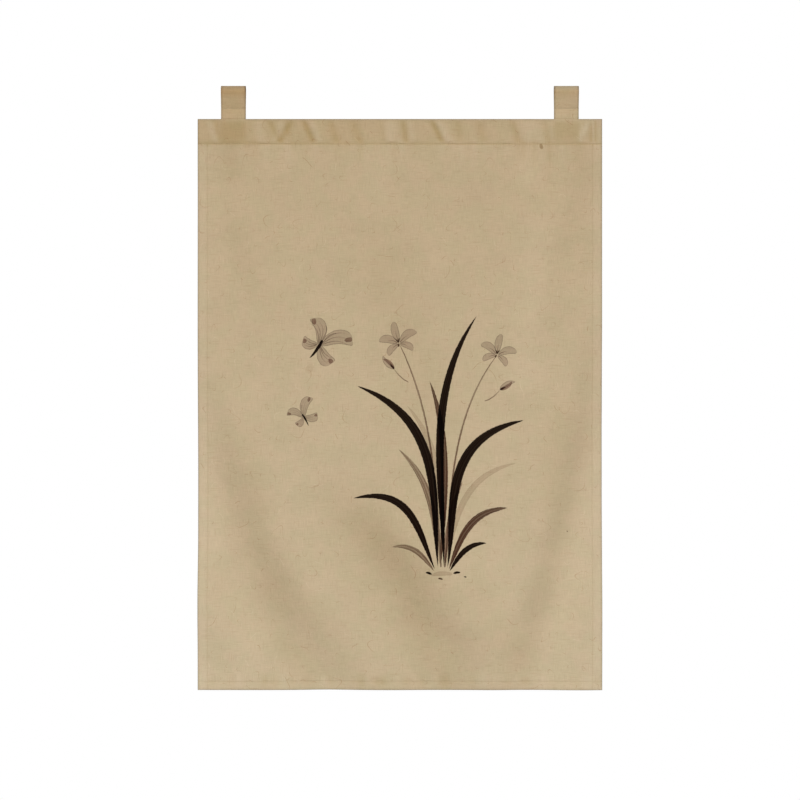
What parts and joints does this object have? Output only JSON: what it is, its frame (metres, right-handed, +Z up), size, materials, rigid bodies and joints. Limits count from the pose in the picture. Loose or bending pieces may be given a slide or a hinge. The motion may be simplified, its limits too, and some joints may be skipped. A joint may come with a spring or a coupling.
{
  "type": "noren curtain",
  "caption": "Door curtain of one undyed linen cloth with a deep heading hem, narrow side and foot hems, and two strap loops at its top corners for a hanging rod.",
  "frame": {"origin": "midway between the two loops, on the line along which they bear on top of a hanging rod", "axes": "+Z up, +X along the rod to the curtain's right as seen from its printed face, and the printed face looks along -Y"},
  "size_m": [0.8515, 0.0462, 1.2703],
  "materials": {
    "panel_linen": "matt plain weave, mottled tan, with an ink-style print",
    "strap_linen": "matt plain weave, mottled tan"
  },
  "bodies": {
    "root": {"panel": "panel_linen", "loop_left": "strap_linen", "loop_right": "strap_linen"}
  },
  "joints": []
}
